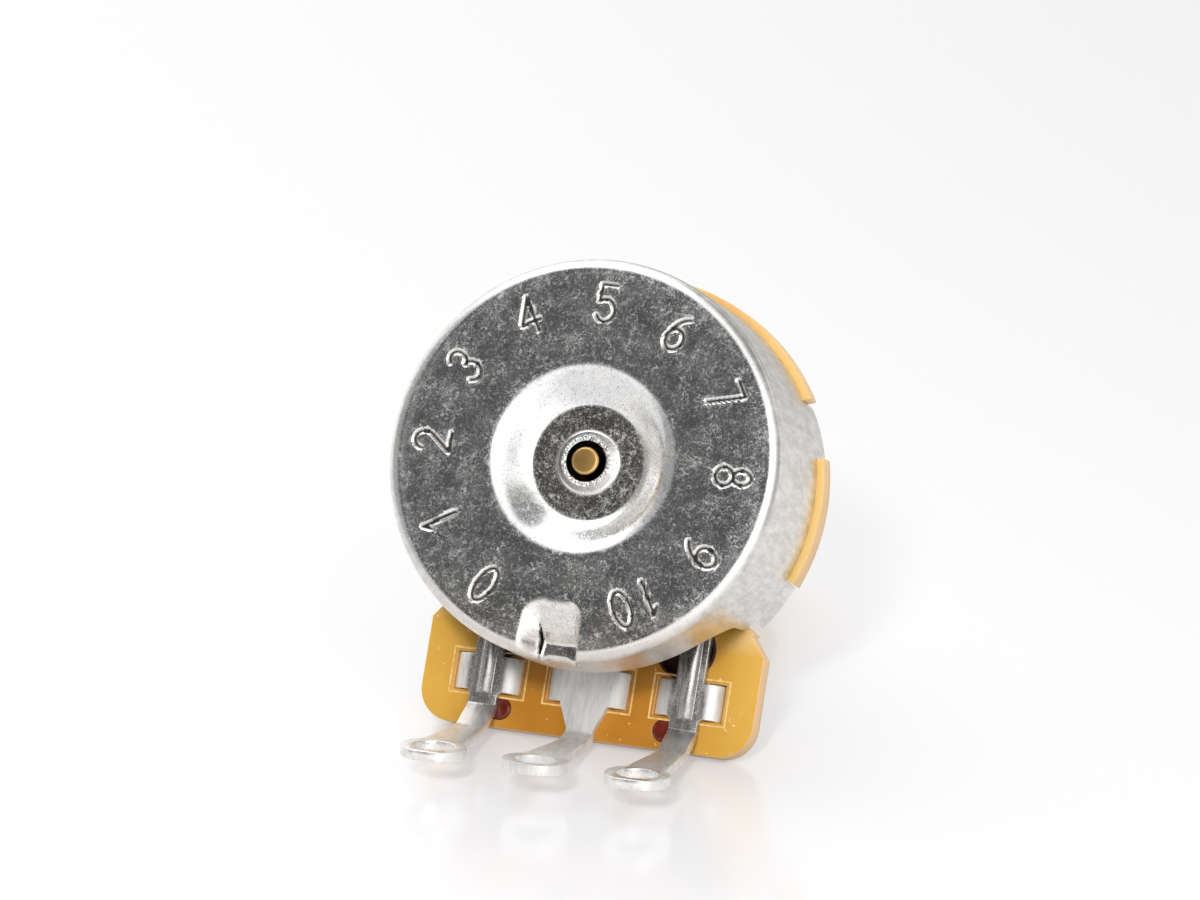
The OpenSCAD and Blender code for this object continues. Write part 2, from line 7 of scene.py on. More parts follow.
# %% Load the frame
from math import atan2, cos, degrees, exp, hypot, pi, radians, sin, sqrt

import bmesh
import bpy
import numpy as np
from bmesh.types import BMEdge, BMFace, BMVert
from mathutils import Matrix, Vector, noise


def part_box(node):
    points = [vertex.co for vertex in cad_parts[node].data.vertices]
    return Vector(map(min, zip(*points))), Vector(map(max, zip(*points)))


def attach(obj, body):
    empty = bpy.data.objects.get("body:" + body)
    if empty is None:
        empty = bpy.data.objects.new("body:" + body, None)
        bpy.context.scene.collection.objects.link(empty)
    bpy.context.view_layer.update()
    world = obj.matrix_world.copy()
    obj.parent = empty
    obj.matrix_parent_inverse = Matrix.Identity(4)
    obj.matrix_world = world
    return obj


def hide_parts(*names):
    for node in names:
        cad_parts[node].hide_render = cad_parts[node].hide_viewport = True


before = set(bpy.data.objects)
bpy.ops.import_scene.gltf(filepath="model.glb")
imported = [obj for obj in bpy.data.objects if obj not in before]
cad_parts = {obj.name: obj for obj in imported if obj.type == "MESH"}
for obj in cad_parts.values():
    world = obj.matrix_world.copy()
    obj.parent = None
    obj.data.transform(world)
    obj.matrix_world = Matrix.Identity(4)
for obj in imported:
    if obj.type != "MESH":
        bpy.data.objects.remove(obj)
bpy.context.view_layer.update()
scene = bpy.context.scene
mm = 0.001

# %% [markdown]
# Sizes are read from the solids where a box can give them, so the looks follow the construction. A
# depth is a distance behind the mounting face: it grows towards the rear, where Y is negative.

# %% Read the main sizes
cover_low, cover_high = (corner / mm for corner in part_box("rear_cover"))
board_low, board_high = (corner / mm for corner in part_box("element_board"))
shaft_low, shaft_high = (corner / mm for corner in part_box("shaft"))
cover_r, rear = cover_high.x, -cover_low.y
board_front, board_rear = -board_high.y, -board_low.y
sheet = 0.6
shaft_r = 3.175
lug_pitch, side_lug_w, middle_lug_w = 6.3, 2.1, 2.9
print(f"cover radius {cover_r:.2f} mm, rear face at depth {rear:.2f} mm")
print(f"board between depths {board_front:.2f} and {board_rear:.2f} mm")

# %% [markdown]
# Every new piece ends the same way: a bmesh becomes a mesh object, smooth but for its sharp edges,
# that rides on a body and may stand for a solid. One function does it, so no piece forgets a step.

# %% Turn a bmesh into a piece
def new_object(name, bm, finish):
    """Writes bm, in millimetres, to a new object in metres."""
    bmesh.ops.scale(bm, vec=(mm, mm, mm), verts=bm.verts)
    mesh = bpy.data.meshes.new(name)
    bm.to_mesh(mesh)
    bm.free()
    mesh.materials.append(finish)
    made = bpy.data.objects.new(name, mesh)
    scene.collection.objects.link(made)
    return made


def finish_piece(name, bm, finish, body, stands_for=(), sharp_angle=40):
    """Makes bm a smooth piece that rides on a body and stands for CAD nodes."""
    bmesh.ops.recalc_face_normals(bm, faces=bm.faces)
    piece = new_object(name, bm, finish)
    mesh = piece.data
    mesh.shade_smooth()
    mesh.set_sharp_from_angle(angle=radians(sharp_angle))
    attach(piece, body)
    if stands_for:
        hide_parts(*stands_for)
    triangles = sum(len(face.vertices) - 2 for face in mesh.polygons)
    print(f"{name}: {len(mesh.vertices)} vertices, {triangles} triangles")


def dress(node, finish):
    """Gives a CAD node that stays its finish."""
    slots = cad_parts[node].data.materials
    slots.clear()
    slots.append(finish)


# %% [markdown]
# Materials are node trees. Short helpers keep them readable: they add a node with its numbers, wire
# two sockets, make a grain, or map one range to another. Object coordinates are in metres, so a grain
# of a tenth of a millimetre has a scale of about ten thousand.

# %% Material helpers
def new_finish(name, colour, metallic, roughness, **sockets):
    """A material whose Principled shader has these constant values."""
    finish = bpy.data.materials.new(name)
    finish.use_nodes = True
    shader = finish.node_tree.nodes["Principled BSDF"]
    shader.inputs["Base Color"].default_value = (*colour, 1)
    shader.inputs["Metallic"].default_value = metallic
    shader.inputs["Roughness"].default_value = roughness
    for socket, value in sockets.items():
        shader.inputs[socket.replace("_", " ")].default_value = value
    return finish, finish.node_tree, shader


def add(tree, kind, values=None, **settings):
    """A shader node with its properties and its unlinked inputs set."""
    node = tree.nodes.new("ShaderNode" + kind)
    for key, value in settings.items():
        setattr(node, key, value)
    for key, value in (values or {}).items():
        node.inputs[key].default_value = value
    return node


def wire(tree, start, end):
    """Links an output socket to an input socket."""
    tree.links.new(start, end)


def feed(tree, value, socket):
    """Gives an input its value: a socket is wired to it, a number or a colour is set."""
    if isinstance(value, bpy.types.NodeSocket):
        wire(tree, value, socket)
    else:
        socket.default_value = (*value, 1) if socket.type == "RGBA" else value


def grain(tree, scale, detail=3.0, roughness=0.55, stretch=(1, 1, 1), turn=(0, 0, 0), distortion=0.0):
    """Noise on Object coordinates, from 0 to 1. Stretch lengthens the grain along an axis."""
    place = add(tree, "TexCoord")
    fit = add(tree, "Mapping", {"Scale": [1 / s for s in stretch], "Rotation": turn})
    cells = add(tree, "TexNoise", {"Scale": scale, "Detail": detail, "Roughness": roughness,
                                   "Distortion": distortion})
    wire(tree, place.outputs["Object"], fit.inputs["Vector"])
    wire(tree, fit.outputs["Vector"], cells.inputs["Vector"])
    return cells.outputs["Fac"]


def between(tree, value, low, high, to_low, to_high, smooth=False):
    """Maps a socket from one range to another, clamped."""
    ranged = add(tree, "MapRange",
                 {"From Min": low, "From Max": high, "To Min": to_low, "To Max": to_high},
                 interpolation_type="SMOOTHSTEP" if smooth else "LINEAR")
    wire(tree, value, ranged.inputs["Value"])
    return ranged.outputs["Result"]


def over_span(tree, value, span, to_low, to_high, smooth=False):
    """Maps a length to another range, over a span that is given in millimetres."""
    return between(tree, value, span[0] * mm, span[1] * mm, to_low, to_high, smooth)


def blend(tree, share, first, second):
    """A colour between two, each a colour or a socket."""
    mix = add(tree, "Mix", data_type="RGBA")
    feed(tree, first, mix.inputs[6])
    feed(tree, second, mix.inputs[7])
    wire(tree, share, mix.inputs[0])
    return mix.outputs[2]


def calc(tree, operation, first, second=0.0):
    """A Math node over one or two inputs, each a number or a socket."""
    node = add(tree, "Math", operation=operation)
    feed(tree, first, node.inputs[0])
    feed(tree, second, node.inputs[1])
    return node.outputs[0]


def coordinate(tree, axis, source="Object"):
    """One axis of the Object coordinates, or of the Normal."""
    place, parts = add(tree, "TexCoord"), add(tree, "SeparateXYZ")
    wire(tree, place.outputs[source], parts.inputs[0])
    return parts.outputs[axis]


def distance(tree, axes):
    """Distance from the origin over the axes that have a 1: (1, 0, 1) is from the shaft axis."""
    place, kept = add(tree, "TexCoord"), add(tree, "VectorMath", {1: axes}, operation="MULTIPLY")
    length = add(tree, "VectorMath", operation="LENGTH")
    wire(tree, place.outputs["Object"], kept.inputs[0])
    wire(tree, kept.outputs[0], length.inputs[0])
    return length.outputs["Value"]


def bump(tree, height, relief):
    """A Bump node over a height socket, with its relief in millimetres."""
    node = add(tree, "Bump", {"Strength": 1.0, "Distance": relief * mm})
    wire(tree, height, node.inputs["Height"])
    return node.outputs["Normal"]


def hairs(tree, scale, width, patches):
    """Short thin scratches: the lines where a noise crosses its middle, kept only in patches."""
    wander = grain(tree, scale, detail=1.5, roughness=0.5, distortion=0.8)
    off_line = calc(tree, "ABSOLUTE", calc(tree, "SUBTRACT", wander, 0.5))
    line = between(tree, off_line, width * 0.3, width, 1, 0)
    kept = between(tree, grain(tree, patches, detail=3.0, roughness=0.7), 0.5, 0.58, 0, 1)
    return calc(tree, "MULTIPLY", line, kept)


# %% [markdown]
# Tinned sheet is flecked, because the tin sets in small crystals that each tilt a little, and handling
# leaves fine scratches and pits. The flecks and scratches are real, but their near-white colour is a
# painted glint of the light that the tilted crystals and scratches catch. The rear face shows them most,
# and the drawn side is lighter and streaked, so one material blends between both by the distance from
# the shaft axis. The floor of the dish is browner, the collar stays clean, and the lower side has a
# painted reflection of the board and of the shaded table below it, warmer and a little darker.

# %% Tinned steel of the cover
def tinned_steel():
    """Flecked and scratched on the rear face, streaked along the axis on the drawn side."""
    finish, tree, shader = new_finish("tinned_steel", (0.74, 0.745, 0.74), 1.0, 0.24)
    fleck_end, flat_end, collar_end = (11.2, 11.9), (11.4, 11.95), (1.85, 2.05)
    wall_start, floor_end, low_side = (3.6, 4.4), (3.2, 3.5), (-6.5, -10.5)
    side_dull, side_light = (0.61, 0.595, 0.57), (0.82, 0.81, 0.78)
    face_cool, face_warm = (0.77, 0.78, 0.8), (0.93, 0.92, 0.9)
    brown, board_reflection_warm, pit_grey = (0.5, 0.46, 0.43), (0.72, 0.66, 0.58), (0.42, 0.405, 0.39)
    glint_white, shade_dark = (1.0, 0.995, 0.98), (0.1, 0.08, 0.06)
    fleck_rough, cloud_rough = 0.33, 0.1

    radius = distance(tree, (1, 0, 1))
    on_face = over_span(tree, radius, fleck_end, 1.0, 0.3, smooth=True)
    flatness = over_span(tree, radius, flat_end, 1, 0, smooth=True)
    clean_collar = over_span(tree, radius, collar_end, 0.1, 1)
    in_dish = over_span(tree, radius, wall_start, 0.25, 0)
    browned = calc(tree, "MULTIPLY", over_span(tree, radius, floor_end, 0.9, 0), clean_collar)
    low = over_span(tree, coordinate(tree, "Z"), low_side, 0, 0.55, smooth=True)

    clouds = between(tree, grain(tree, 520.0, detail=6.0, roughness=0.65), 0.36, 0.64, 0, 1)
    groups = between(tree, grain(tree, 1500.0, detail=4.0, roughness=0.7), 0.4, 0.62, 0.35, 0.8)
    crowd = calc(tree, "MULTIPLY", calc(tree, "ADD", groups, in_dish), clean_collar)
    fine = grain(tree, 14000.0, detail=2.0, roughness=0.6, distortion=0.4)
    specks = between(tree, fine, 0.55, 0.68, 0, 1)
    short_hairs, long_hairs = hairs(tree, 4800.0, 0.065, 2600.0), hairs(tree, 2200.0, 0.055, 4200.0)
    scratches = calc(tree, "MAXIMUM", long_hairs, short_hairs)
    marks = calc(tree, "MULTIPLY", calc(tree, "MAXIMUM", specks, scratches), crowd)
    glints = calc(tree, "MULTIPLY", marks, on_face)
    pitted = grain(tree, 5600.0, detail=4.0, roughness=0.8, distortion=1.5)
    dark = calc(tree, "MULTIPLY", between(tree, pitted, 0.48, 0.36, 0, 1), on_face)
    streaks = grain(tree, 1900.0, detail=6.0, roughness=0.7, stretch=(1, 3.5, 1))

    side_tone = blend(tree, between(tree, streaks, 0.4, 0.62, 0, 1), side_dull, side_light)
    tone = blend(tree, flatness, side_tone, blend(tree, clouds, face_cool, face_warm))
    # Painted reflection: the lower side is tinted warm and darker, as if mirroring the board and its shaded
    # table.
    tone = blend(tree, low, blend(tree, browned, tone, brown), board_reflection_warm)
    # Painted glints: the real flecks and scratches are coloured near white where they lie on the face.
    lively = blend(tree, glints, blend(tree, dark, tone, pit_grey), glint_white)
    # Painted shade: where the vertex layer is set, the colour goes dark as if in shade.
    painted_shade = add(tree, "Attribute", attribute_name="painted_shade")
    wire(tree, blend(tree, painted_shade.outputs["Fac"], lively, shade_dark), shader.inputs["Base Color"])
    plain = calc(tree, "ADD", between(tree, on_face, 0.3, 1.0, 0.3, 0.15),
                 calc(tree, "MULTIPLY", clouds, cloud_rough))
    rough = calc(tree, "ADD", calc(tree, "MULTIPLY", glints, fleck_rough), plain)
    wire(tree, rough, shader.inputs["Roughness"])
    return finish


steel = tinned_steel()

# %% [markdown]
# The cover is a lathe shape first: its section is drawn once and spun about the shaft axis. The
# section is a closed loop, outside and inside, so the sheet has its real thickness. Rows lie close
# together where the dial numbers are pressed in, because the relief is real geometry.

# %% Section of the cover
dish_mouth_r, dish_floor_r, dish_drop, mouth_round = 5.6, 3.4, 1.5, 0.35
lip_from, lip_run = 0.6, 0.25
collar_r, collar_hole_r, collar_rise = 1.8, 1.2, 0.55
number_inner_r, number_outer_r, number_rows = 8.05, 10.5, 33
corner_r, crown_from, crown_fall = 0.8, 10.1, 0.07
floor_depth = rear - dish_drop
crest = floor_depth + collar_rise
inner_r, flat_r, side_top = cover_r - sheet, cover_r - corner_r, rear - corner_r


def steps(start, end, count):
    """Evenly spaced values from start to end, both included."""
    return [start + (end - start) * i / count for i in range(count + 1)]


def clamp(share):
    return min(max(share, 0), 1)


def arc(cx, cy, rx, ry, start, end, count=14):
    """Points of an elliptical arc between two angles in degrees."""
    return [(cx + rx * cos(radians(a)), cy + ry * sin(radians(a)))
            for a in steps(start, end, count)]


def wall_rise(share):
    """How far the dish's wall has come up, from 0 at its floor to 1 at its mouth."""
    share = clamp(share)
    return 0.5 * share + 0.5 * (1 - cos(pi * share)) / 2


def dish(shift, lift, count):
    """The wall of the dish from floor to mouth. A moving average rounds its upper lip."""
    run = dish_mouth_r - dish_floor_r
    points = []
    for s in steps(0, 1 + mouth_round / run, count):
        reach = mouth_round / run * clamp((s - lip_from) / lip_run)
        around = [wall_rise(s + reach * k / 4) for k in range(-4, 5)]
        rise = dish_drop * sum(around) / len(around)
        points.append((dish_floor_r + shift + run * s, floor_depth - lift + rise))
    return points


def crowned(r, depth):
    """A place of the section, lowered where the rear face falls a little towards its corner."""
    fall = crown_fall * max(min(r, flat_r) - crown_from, 0) ** 2
    return r, depth - fall * max(depth - side_top, 0) / corner_r


outside = [(collar_hole_r, floor_depth - sheet + 0.3), (collar_hole_r, crest - 0.12)]
outside += [(collar_hole_r + 0.03, crest - 0.05), (collar_hole_r + 0.08, crest - 0.04)]
outside += [(r, crest - 0.02) for r in steps(collar_hole_r + 0.12, collar_hole_r + 0.3, 4)]
outside += [(collar_hole_r + 0.36, crest - 0.1), (collar_r - 0.12, crest - 0.34)]
outside += [(collar_r - 0.03, crest - 0.46), (collar_r + 0.08, floor_depth + 0.03)]
outside += [(r, floor_depth) for r in steps(collar_r + 0.3, dish_floor_r - 0.2, 2)]
outside += dish(0, 0, 18)
outside += [(r, rear) for r in steps(dish_mouth_r + 0.7, number_inner_r - 0.3, 2)]
outside += [(r, rear) for r in steps(number_inner_r, number_outer_r, number_rows)]
outside += [(r, rear) for r in steps(number_outer_r + 0.1, flat_r - 0.08, 6)]
outside += arc(flat_r, side_top, corner_r, corner_r, 90, 0, 12)
outside += [(cover_r, depth) for depth in steps(side_top - 0.15, side_top - 1.2, 5)]
outside += [(cover_r, depth) for depth in steps(side_top - 1.8, board_rear, 6)]
outside = [crowned(r, depth) for r, depth in outside]
inside = [(inner_r, depth) for depth in steps(board_rear, side_top - 0.1, 3)]
inside += arc(flat_r, side_top, corner_r - sheet, corner_r - sheet, 0, 90, 2)
inside += [(r, rear - sheet) for r in steps(flat_r - 0.5, dish_mouth_r + 0.5, 3)]
inside += list(reversed(dish(0.3, sheet, 4)))
inside += [(collar_r + 0.2, floor_depth - sheet), (collar_hole_r + 0.3, floor_depth - sheet)]
section = outside + inside
print("rows in the section:", len(section))

# %% [markdown]
# Spin turns the section into the cup. Its columns lie so close that a stamped stroke is several wide.
# A first spin makes a narrow wedge and a second one copies it all the way round, because one long
# spin takes Blender much more time; the wedges' shared edges are then merged.

# %% Spin the section
wedges, wedge_columns = 20, 36


def draw_loop(bm, points):
    """Draws a closed loop of points, each a radius and a place along the axis, ready to spin."""
    verts = [bm.verts.new((r, y, 0)) for r, y in points]
    return verts + [bm.edges.new((verts[i], verts[(i + 1) % len(verts)])) for i in range(len(verts))]


cup = bmesh.new()
loop = draw_loop(cup, [(r, -depth) for r, depth in section])
bmesh.ops.spin(cup, geom=loop, cent=(0, 0, 0), axis=(0, 1, 0), angle=2 * pi / wedges,
               steps=wedge_columns)
bmesh.ops.spin(cup, geom=cup.verts[:] + cup.edges[:] + cup.faces[:], cent=(0, 0, 0), axis=(0, 1, 0),
               angle=2 * pi * (wedges - 1) / wedges, steps=wedges - 1, use_duplicate=True)
bmesh.ops.remove_doubles(cup, verts=cup.verts, dist=0.001)
print("spun:", len(cup.verts), "vertices")

# %% [markdown]
# The collar was drawn up through a small hole, so its crest is a torn edge: a little noise moves it.

# %% Roughen the collar's crest
crest_from, crest_to = collar_hole_r + 0.1, collar_hole_r + 0.34
coarse_tear, fine_tear = (0.05, 9), (0.03, 23)


def radius_of(co):
    """Distance of a place from the shaft axis."""
    return hypot(co.x, co.z)


for vert in cup.verts:
    if crest_from < radius_of(vert.co) < crest_to and -vert.co.y > floor_depth + 0.3:
        vert.co.y -= sum(height * noise.noise(vert.co * scale) for height, scale in (coarse_tear, fine_tear))

# %% [markdown]
# The cup's rim stands on the board all round, but over the terminals it is cut back. Each column of
# the side is shortened to the line of that cut: a straight top with a rounded corner at each end.

# %% Relieve the rim over the terminals
relief_half, relief_height, relief_corner = 8.95, 3.7, 2.2
close = 0.01


def rim_depth(x, z):
    """Depth of the rim above a place on the circle."""
    beyond = abs(x) - (relief_half - relief_corner)
    if z > 0 or beyond > relief_corner:
        return board_rear
    drop = relief_corner - sqrt(relief_corner ** 2 - max(beyond, 0) ** 2)
    return board_rear + relief_height - drop


for vert in cup.verts:
    depth = -vert.co.y
    if radius_of(vert.co) > inner_r - close and depth < side_top:
        share = (side_top - depth) / (side_top - board_rear)
        vert.co.y = -(side_top + (rim_depth(vert.co.x, vert.co.z) - side_top) * share)

# %% [markdown]
# Four tabs reach from the rim past the board and fold over the front plate. They are extruded from
# the rim's own end faces: first straight forward, then turned step by step about the line of the
# fold, and last straight inward.

# %% Crimp tabs
tab_half_w, tab_reach_r, fold_inner = 1.7, 9.8, 0.15
upper_tab, lower_tab = 22, -31.5
tab_angles = (upper_tab, lower_tab, 180 - upper_tab, 180 - lower_tab)
plate_thick = 0.8
plate_front = board_front - plate_thick
fold_r, fold_depth = inner_r - fold_inner, plate_front + fold_inner


def only(geom, kind):
    """The elements of one kind in what a bmesh operator returns."""
    return [element for element in geom if isinstance(element, kind)]


def tab_axes(angle):
    """Outward and sideways directions of a tab."""
    outward = Vector((cos(radians(angle)), 0, sin(radians(angle))))
    return outward, Vector((-outward.z, 0, outward.x))


def tab_of(place):
    """The angle of the tab that a place on the rim belongs to, or None."""
    for angle in tab_angles:
        outward, along = tab_axes(angle)
        if place.dot(outward) > 0 and abs(place.dot(along)) < tab_half_w:
            return angle
    return None


rim_end = [f for f in cup.faces if abs(-f.calc_center_median().y - board_rear) < close]
faces = [f for f in rim_end if radius_of(f.calc_center_median()) > inner_r and tab_of(f.calc_center_median())]
straight, folded = board_rear - plate_front - fold_inner, fold_r - tab_reach_r
moves = [("forward", straight / 3)] * 3 + [("turn", 15)] * 6 + [("inward", folded / 3)] * 3
covered = []
for kind, amount in moves:
    covered += faces
    grown = bmesh.ops.extrude_face_region(cup, geom=faces)["geom"]
    faces, verts = only(grown, BMFace), only(grown, BMVert)
    for angle in tab_angles:
        outward, along = tab_axes(angle)
        mine = [v for v in verts if tab_of(v.co * 0.999) == angle]
        if kind == "forward":
            bmesh.ops.translate(cup, vec=(0, amount, 0), verts=mine)
        elif kind == "turn":
            hinge = outward * fold_r + Vector((0, -fold_depth, 0))
            bend = Matrix.Rotation(radians(amount), 3, along)
            bmesh.ops.rotate(cup, cent=hinge, matrix=bend, verts=mine)
        else:
            bmesh.ops.translate(cup, vec=-outward * amount, verts=mine)
bmesh.ops.delete(cup, geom=covered, context="FACES_ONLY")
print("with tabs:", len(cup.verts), "vertices")

# %% [markdown]
# The inside stop is a dent that a punch has pressed into the lower corner. Its columns leave the plain
# section for a path of their own, from the rear face down to the side, and columns beside it follow
# that path in part. Where the path leaves the rear face, a moving average rounds it. On the left the
# sheet has torn, so there the change from one path to the other is sudden.

# %% Path of the rotation stop
dent_start_r = 8.2
dent_path = [(0.0, dent_start_r, 0.0), (0.35, 8.53, 0.03), (0.75, 8.92, 0.16), (1.2, 9.33, 0.34),
             (1.9, 9.95, 0.58), (2.3, 10.27, 0.85), (2.75, 10.68, 1.45), (2.9, 10.78, 1.58),
             (3.05, 10.92, 1.63), (3.75, 11.58, 1.71), (3.95, 11.74, 1.84), (4.15, 11.83, 2.1),
             (5.2, 11.88, 3.0), (6.4, 11.95, 3.65), (7.3, 12.0, 3.84)]
path_places, rolled_until, window = 200, 2.0, 15
arc_length = corner_r * pi / 2
face_length = flat_r - dent_start_r

path_along, path_r, path_deep = (np.array(column) for column in zip(*dent_path))
dent_end = path_along[-1]
dent_along = np.linspace(0, dent_end, path_places)
dent_r = np.interp(dent_along, path_along, path_r)
sharp_deep = np.interp(dent_along, path_along, path_deep)
padded_deep = np.pad(sharp_deep, window // 2, mode="edge")
rolled_deep = np.convolve(padded_deep, np.ones(window) / window, mode="valid")
dent_deep = np.where(dent_along < rolled_until, rolled_deep, sharp_deep)


def along_section(r, depth):
    """Distance along the outer section from where the dent starts."""
    if depth > side_top and r > flat_r:
        return face_length + corner_r * atan2(r - flat_r, depth - side_top)
    if depth > side_top - 0.001:
        return r - dent_start_r
    return face_length + arc_length + (side_top - depth)


def on_section(s):
    """Radius and depth of the undented outer section at that distance."""
    if s < face_length:
        return dent_start_r + s, rear
    if s < face_length + arc_length:
        turn = (s - face_length) / corner_r
        return flat_r + corner_r * sin(turn), side_top + corner_r * cos(turn)
    return cover_r, side_top - (s - face_length - arc_length)


print(f"path of the stop: {dent_end:.1f} mm long, {path_deep.max():.2f} mm deep")

# %% [markdown]
# Across the dent, each flank runs from where it starts to where it has its full depth. The torn slit
# opens beside the left flank, with a raised burr on its inner edge.

# %% Press in the rotation stop
right_flank, left_flank, whole_flank, torn_flank = (1.6, 1.04), (2.2, 1.0), (2.25, 1.0), (2.3, 0.95)
top_round, top_bend = 1.35, 0.42
torn_share, torn_start = 0.7, (1.65, 2.3)
slit_x, slit_lean, slit_half, slit_deep = -1.0, 0.12, 0.05, 1.2
burr_high, burr_off, burr_w = 0.07, 0.06, 0.07
flare_out = 0.22
torn_half_w, torn_inner_r, torn_reach, skin = 1.9, 9.3, 2.9, 0.12
dent_half_reach, dent_down = 2.6, 5


def smooth(low, high, value):
    share = clamp((value - low) / (high - low))
    return share * share * (3 - 2 * share)


def slit_middle(s):
    """Where the torn slit lies beside the dent."""
    return slit_x - slit_lean * smooth(1.95, 3.4, s)


def slit_half_width(s):
    return slit_half * smooth(1.9, 2.6, s) * smooth(3.6, 3.2, s)


def dent_share(x, s):
    """How far a column follows the dent: the right flank is round, the left one torn."""
    rounding = max(top_round - s, 0) ** 2 * top_bend
    if x > 0:
        return smooth(*right_flank, x + rounding)
    if slit_middle(s) + slit_half_width(s) < x:
        return 1.0 if rounding == 0 else smooth(*left_flank, -x + rounding)
    whole = smooth(*whole_flank, -x + rounding)
    torn = torn_share * smooth(*torn_flank, -x + rounding)
    return whole + (torn - whole) * smooth(*torn_start, s)


def on_outside(place):
    """True for a place on the cover's outer surface near its rear corner."""
    r, depth = radius_of(place), -place.y
    if r > flat_r and depth > side_top:
        return hypot(r - flat_r, depth - side_top) > corner_r - skin
    return depth > rear - 0.1 or r > cover_r - close


def in_torn_zone(co):
    return (co.z < 0 and abs(co.x) < torn_half_w and radius_of(co) > torn_inner_r
            and -co.y > rear - torn_reach and on_outside(co))


torn_zone = [e for e in cup.edges if all(in_torn_zone(v.co) for v in e.verts)]
bmesh.ops.subdivide_edges(cup, edges=torn_zone, cuts=1, use_grid_fill=True)
print("edges cut finer:", len(torn_zone))
# This vertex layer marks the painted shade in the slit and in the number grooves.
painted_shade = cup.verts.layers.float.new("painted_shade")
for vert in cup.verts:
    x, z, depth = vert.co.x, vert.co.z, -vert.co.y
    r = radius_of(vert.co)
    if z > 0 or abs(x) > dent_half_reach or r < dent_start_r - 0.3 or depth < rear - dent_down:
        continue
    s = along_section(r, depth)
    if not 0 < s < dent_end:
        continue
    share = dent_share(x, s)
    plain_r, plain_depth = on_section(s)
    flare = flare_out * smooth(0.4, 1.1, abs(x)) * smooth(3.2, 3.75, s) * smooth(5.2, 4.2, s)
    inward = (min(np.interp(s, dent_along, dent_r) + flare, cover_r) - plain_r) * share
    down = (plain_depth - (rear - np.interp(s, dent_along, dent_deep))) * share
    beside = x - slit_middle(s) - slit_half_width(s)
    if -2 * slit_half_width(s) < beside < 0:
        down += slit_deep
        # The slit's bottom is painted dark as shade.
        vert[painted_shade] = 1.0
    elif beside >= 0:
        burr = burr_high * exp(-((beside - burr_off) / burr_w) ** 2)
        down -= burr * smooth(1.9, 2.4, s) * smooth(4.0, 3.6, s)
    vert.co.y += down
    vert.co.x += x / r * inward
    vert.co.z += z / r * inward
print("vertices in the slit:", sum(vert[painted_shade] > 0 for vert in cup.verts))

# %% [markdown]
# The rear face carries the plain numbers of a dial, 0 to 10 over the shaft's travel. Each digit is a
# few strokes in a box that reaches from -1 to 1.

# %% Strokes of the digits
digit_strokes = {
    "0": [arc(0, 0, 0.8, 1, 0, 360, 24)],
    "1": [[(-0.4, 0.6), (0.1, 1), (0.1, -1)]],
    "2": [arc(0, 0.42, 0.8, 0.58, 165, -35) + [(-0.85, -1), (0.85, -1)]],
    "3": [arc(0, 0.5, 0.72, 0.5, 150, -80), arc(0, -0.46, 0.82, 0.54, 80, -150)],
    "4": [[(0.4, -1), (0.4, 1), (-0.9, -0.4), (0.9, -0.4)]],
    "5": [[(0.75, 1), (-0.6, 1), (-0.72, 0.1)] + arc(-0.05, -0.38, 0.85, 0.62, 130, -150)],
    "6": [arc(0, -0.42, 0.8, 0.58, 0, 360, 20), arc(0.75, -0.42, 1.55, 1.42, 180, 110)],
    "7": [[(-0.8, 1), (0.8, 1), (-0.2, -1)]],
    "8": [arc(0, 0.5, 0.66, 0.5, 0, 360, 18), arc(0, -0.5, 0.82, 0.5, 0, 360, 18)],
    "9": [arc(0, 0.42, 0.8, 0.58, 0, 360, 20), arc(-0.75, 0.42, 1.55, 1.42, 0, -70)],
}
digit_half_w, digit_half_h, digit_r, digit_pitch = 0.66, 1.1, 9.3, 1.75
dial_start, dial_step = -150, 30
strokes = []
for number in range(11):
    turn = radians(dial_start + dial_step * number)
    up, right = Vector((sin(turn), cos(turn))), Vector((cos(turn), -sin(turn)))
    word = str(number)
    for place, digit in enumerate(word):
        shift = (place - (len(word) - 1) / 2) * digit_pitch
        for line in digit_strokes[digit]:
            points = [right * (shift + px * digit_half_w) + up * (digit_r + py * digit_half_h)
                      for px, py in line]
            strokes += list(zip(points, points[1:]))
print("strokes of the dial:", len(strokes))

# %% [markdown]
# Every vertex in the band of the numbers sinks by its distance to the nearest stroke, with a little
# metal raised at the groove's edges. The grooves also get some of the slit's painted shade, a dark
# colour in their bottoms.

# %% Press the numbers
groove_half_w, groove_wall, groove_deep = 0.18, 0.09, 0.1
lip_high, lip_off, lip_w = 0.03, 0.05, 0.06
band_from, band_to = number_inner_r - 0.1, number_outer_r + 0.1
groove_shade = 0.75

band = [v for v in cup.verts if abs(v.co.y + rear) < 0.02 and band_from < radius_of(v.co) < band_to]
flat = np.array([(v.co.x, v.co.z) for v in band])
nearest = np.full(len(flat), np.inf)
for start, end in strokes:
    a, run = np.array(start), np.array(end - start)
    share = np.clip((flat - a) @ run / (run @ run), 0, 1)
    nearest = np.minimum(nearest, np.linalg.norm(flat - a - share[:, None] * run, axis=1))
pressed = np.clip((groove_half_w - nearest) / groove_wall, 0, 1)
lips = np.exp(-((nearest - groove_half_w - lip_off) / lip_w) ** 2) * lip_high
for vert, share, lip in zip(band, pressed, lips):
    vert.co.y += share * groove_deep - lip
    # The groove's bottom gets some painted shade.
    vert[painted_shade] = groove_shade * max(share - 0.5, 0) * 2
print("pressed vertices:", int((pressed > 0).sum()))
finish_piece("rear_cover_sheet", cup, steel, "housing", ["rear_cover"])

# %% [markdown]
# The board and the lugs keep their solids' form, but stamped and punched edges are never knife sharp.
# A copy of each solid is merged, its flat faces are joined, and its sharp edges are bevelled.

# %% Soften a copy of a solid
def bevelled(bm, edges, width, segments):
    """Rounds edges of bm to a width in millimetres."""
    bmesh.ops.bevel(bm, geom=edges, offset=width, offset_type="OFFSET", segments=segments, profile=0.5,
                    affect="EDGES", clamp_overlap=True, material=-1)


